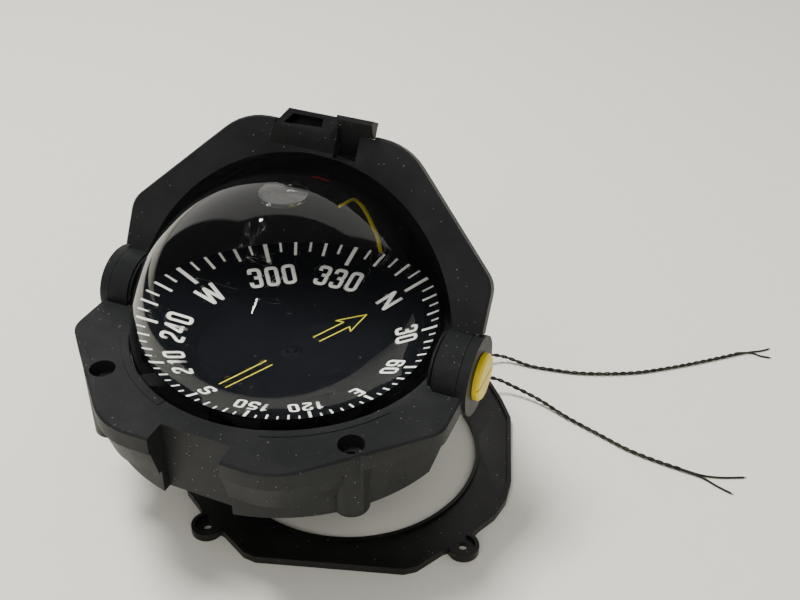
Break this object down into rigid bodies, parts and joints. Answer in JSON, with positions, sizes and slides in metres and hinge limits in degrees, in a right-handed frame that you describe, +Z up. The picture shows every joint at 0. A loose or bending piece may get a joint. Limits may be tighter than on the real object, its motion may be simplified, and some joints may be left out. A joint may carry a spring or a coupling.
{
  "type": "marine compass",
  "caption": "Boat compass with a clear liquid-filled dome, a gimballed card, a lobed bezel, a tilting hood on slotted hub caps, two lead pairs and a loose mounting ring.",
  "frame": {"origin": "centre of the foot's underside, on the table under the dome's axis", "axes": "+X along the hood's hub axis to the right, +Y to the rear, +Z up along the dome's axis"},
  "size_m": [0.3032, 0.2694, 0.1646],
  "materials": {
    "bezel_plastic": "moulded, slightly worn",
    "ring_plastic": "moulded, semi-gloss",
    "bowl_plastic": "moulded",
    "dome_clear": "polished, finely scratched",
    "seal_rubber": "matt",
    "gland_nylon": "moulded",
    "brass": "turned",
    "fibre": "pressed fibre",
    "steel": "turned",
    "magnet": "ground",
    "yellow_plastic": "moulded",
    "card_black": "printed",
    "float_white": "moulded",
    "lens_red": "clear red",
    "bulb_glass": "clear",
    "wire_black": "extruded sleeve"
  },
  "bodies": {
    "base": {"bezel_ring": "bezel_plastic", "bowl_clamp_ring": "bowl_plastic", "dome": "dome_clear", "dome_seal": "seal_rubber", "bowl": "bowl_plastic", "wire_gland": "gland_nylon", "filling_plug": "brass", "plug_washer": "fibre", "diaphragm": "seal_rubber", "diaphragm_cap": "bowl_plastic", "diaphragm_screws": "steel", "foot_cover": "bowl_plastic", "foot_screws": "steel", "foot_pad": "seal_rubber", "gimbal_pins_outer": "steel", "friction_washer_left": "float_white", "friction_washer_right": "float_white", "lead_upper": "wire_black", "lead_lower": "wire_black"},
    "hood": {"hood": "bezel_plastic", "hub_bush_left": "float_white", "hub_bush_right": "float_white", "lamp_housing": "bezel_plastic", "lamp_lens": "lens_red", "lamp_bulb": "bulb_glass", "lamp_base": "brass"},
    "cap_left": {"pivot_bolt_left": "steel", "hub_cap_left": "yellow_plastic"},
    "cap_right": {"pivot_bolt_right": "steel", "hub_cap_right": "yellow_plastic"},
    "gimbal": {"gimbal_ring": "brass", "gimbal_pins_inner": "steel"},
    "cradle": {"pivot_cradle": "bowl_plastic", "pivot_pin": "steel", "counterweight": "brass", "lubber_line": "yellow_plastic"},
    "card": {"card": "card_black", "card_float": "float_white", "card_magnets": "magnet", "jewel_cup": "brass"},
    "compensator_a": {"compensator_shaft_a": "brass", "compensator_magnet_a": "magnet"},
    "compensator_b": {"compensator_shaft_b": "brass", "compensator_magnet_b": "magnet"},
    "loose_ring": {"mounting_ring": "ring_plastic"}
  },
  "joints": [
    {"name": "hood_tilt", "type": "hinge", "parent": "base", "child": "hood", "pos_m": [0, 0, 0.0757], "axis": [1, 0, 0], "range_deg": [-61.8, 48.2]},
    {"name": "cap_left_turn", "type": "hinge", "parent": "base", "child": "cap_left", "pos_m": [0, 0, 0.0757], "axis": [1, 0, 0], "range_deg": [-180, 180]},
    {"name": "cap_right_turn", "type": "hinge", "parent": "base", "child": "cap_right", "pos_m": [0, 0, 0.0757], "axis": [1, 0, 0], "range_deg": [-180, 180]},
    {"name": "gimbal_pitch", "type": "hinge", "parent": "base", "child": "gimbal", "pos_m": [0, 0, 0.045], "axis": [1, 0, 0], "range_deg": [-20, 20]},
    {"name": "gimbal_roll", "type": "hinge", "parent": "gimbal", "child": "cradle", "pos_m": [0, 0, 0.045], "axis": [0, 1, 0], "range_deg": [-20, 20]},
    {"name": "card_turn", "type": "hinge", "parent": "cradle", "child": "card", "pos_m": [0, 0, 0.045], "axis": [0, 0, 1], "continuous": true},
    {"name": "compensator_a_turn", "type": "hinge", "parent": "base", "child": "compensator_a", "pos_m": [0.019, 0, 0.0096], "axis": [0, 1, 0], "continuous": true},
    {"name": "compensator_b_turn", "type": "hinge", "parent": "base", "child": "compensator_b", "pos_m": [0, 0.019, 0.0096], "axis": [1, 0, 0], "continuous": true},
    {"name": "ring_lift", "type": "slide", "parent": "base", "child": "loose_ring", "axis": [0, 0, 1], "range_m": [0, 0.003]}
  ]
}
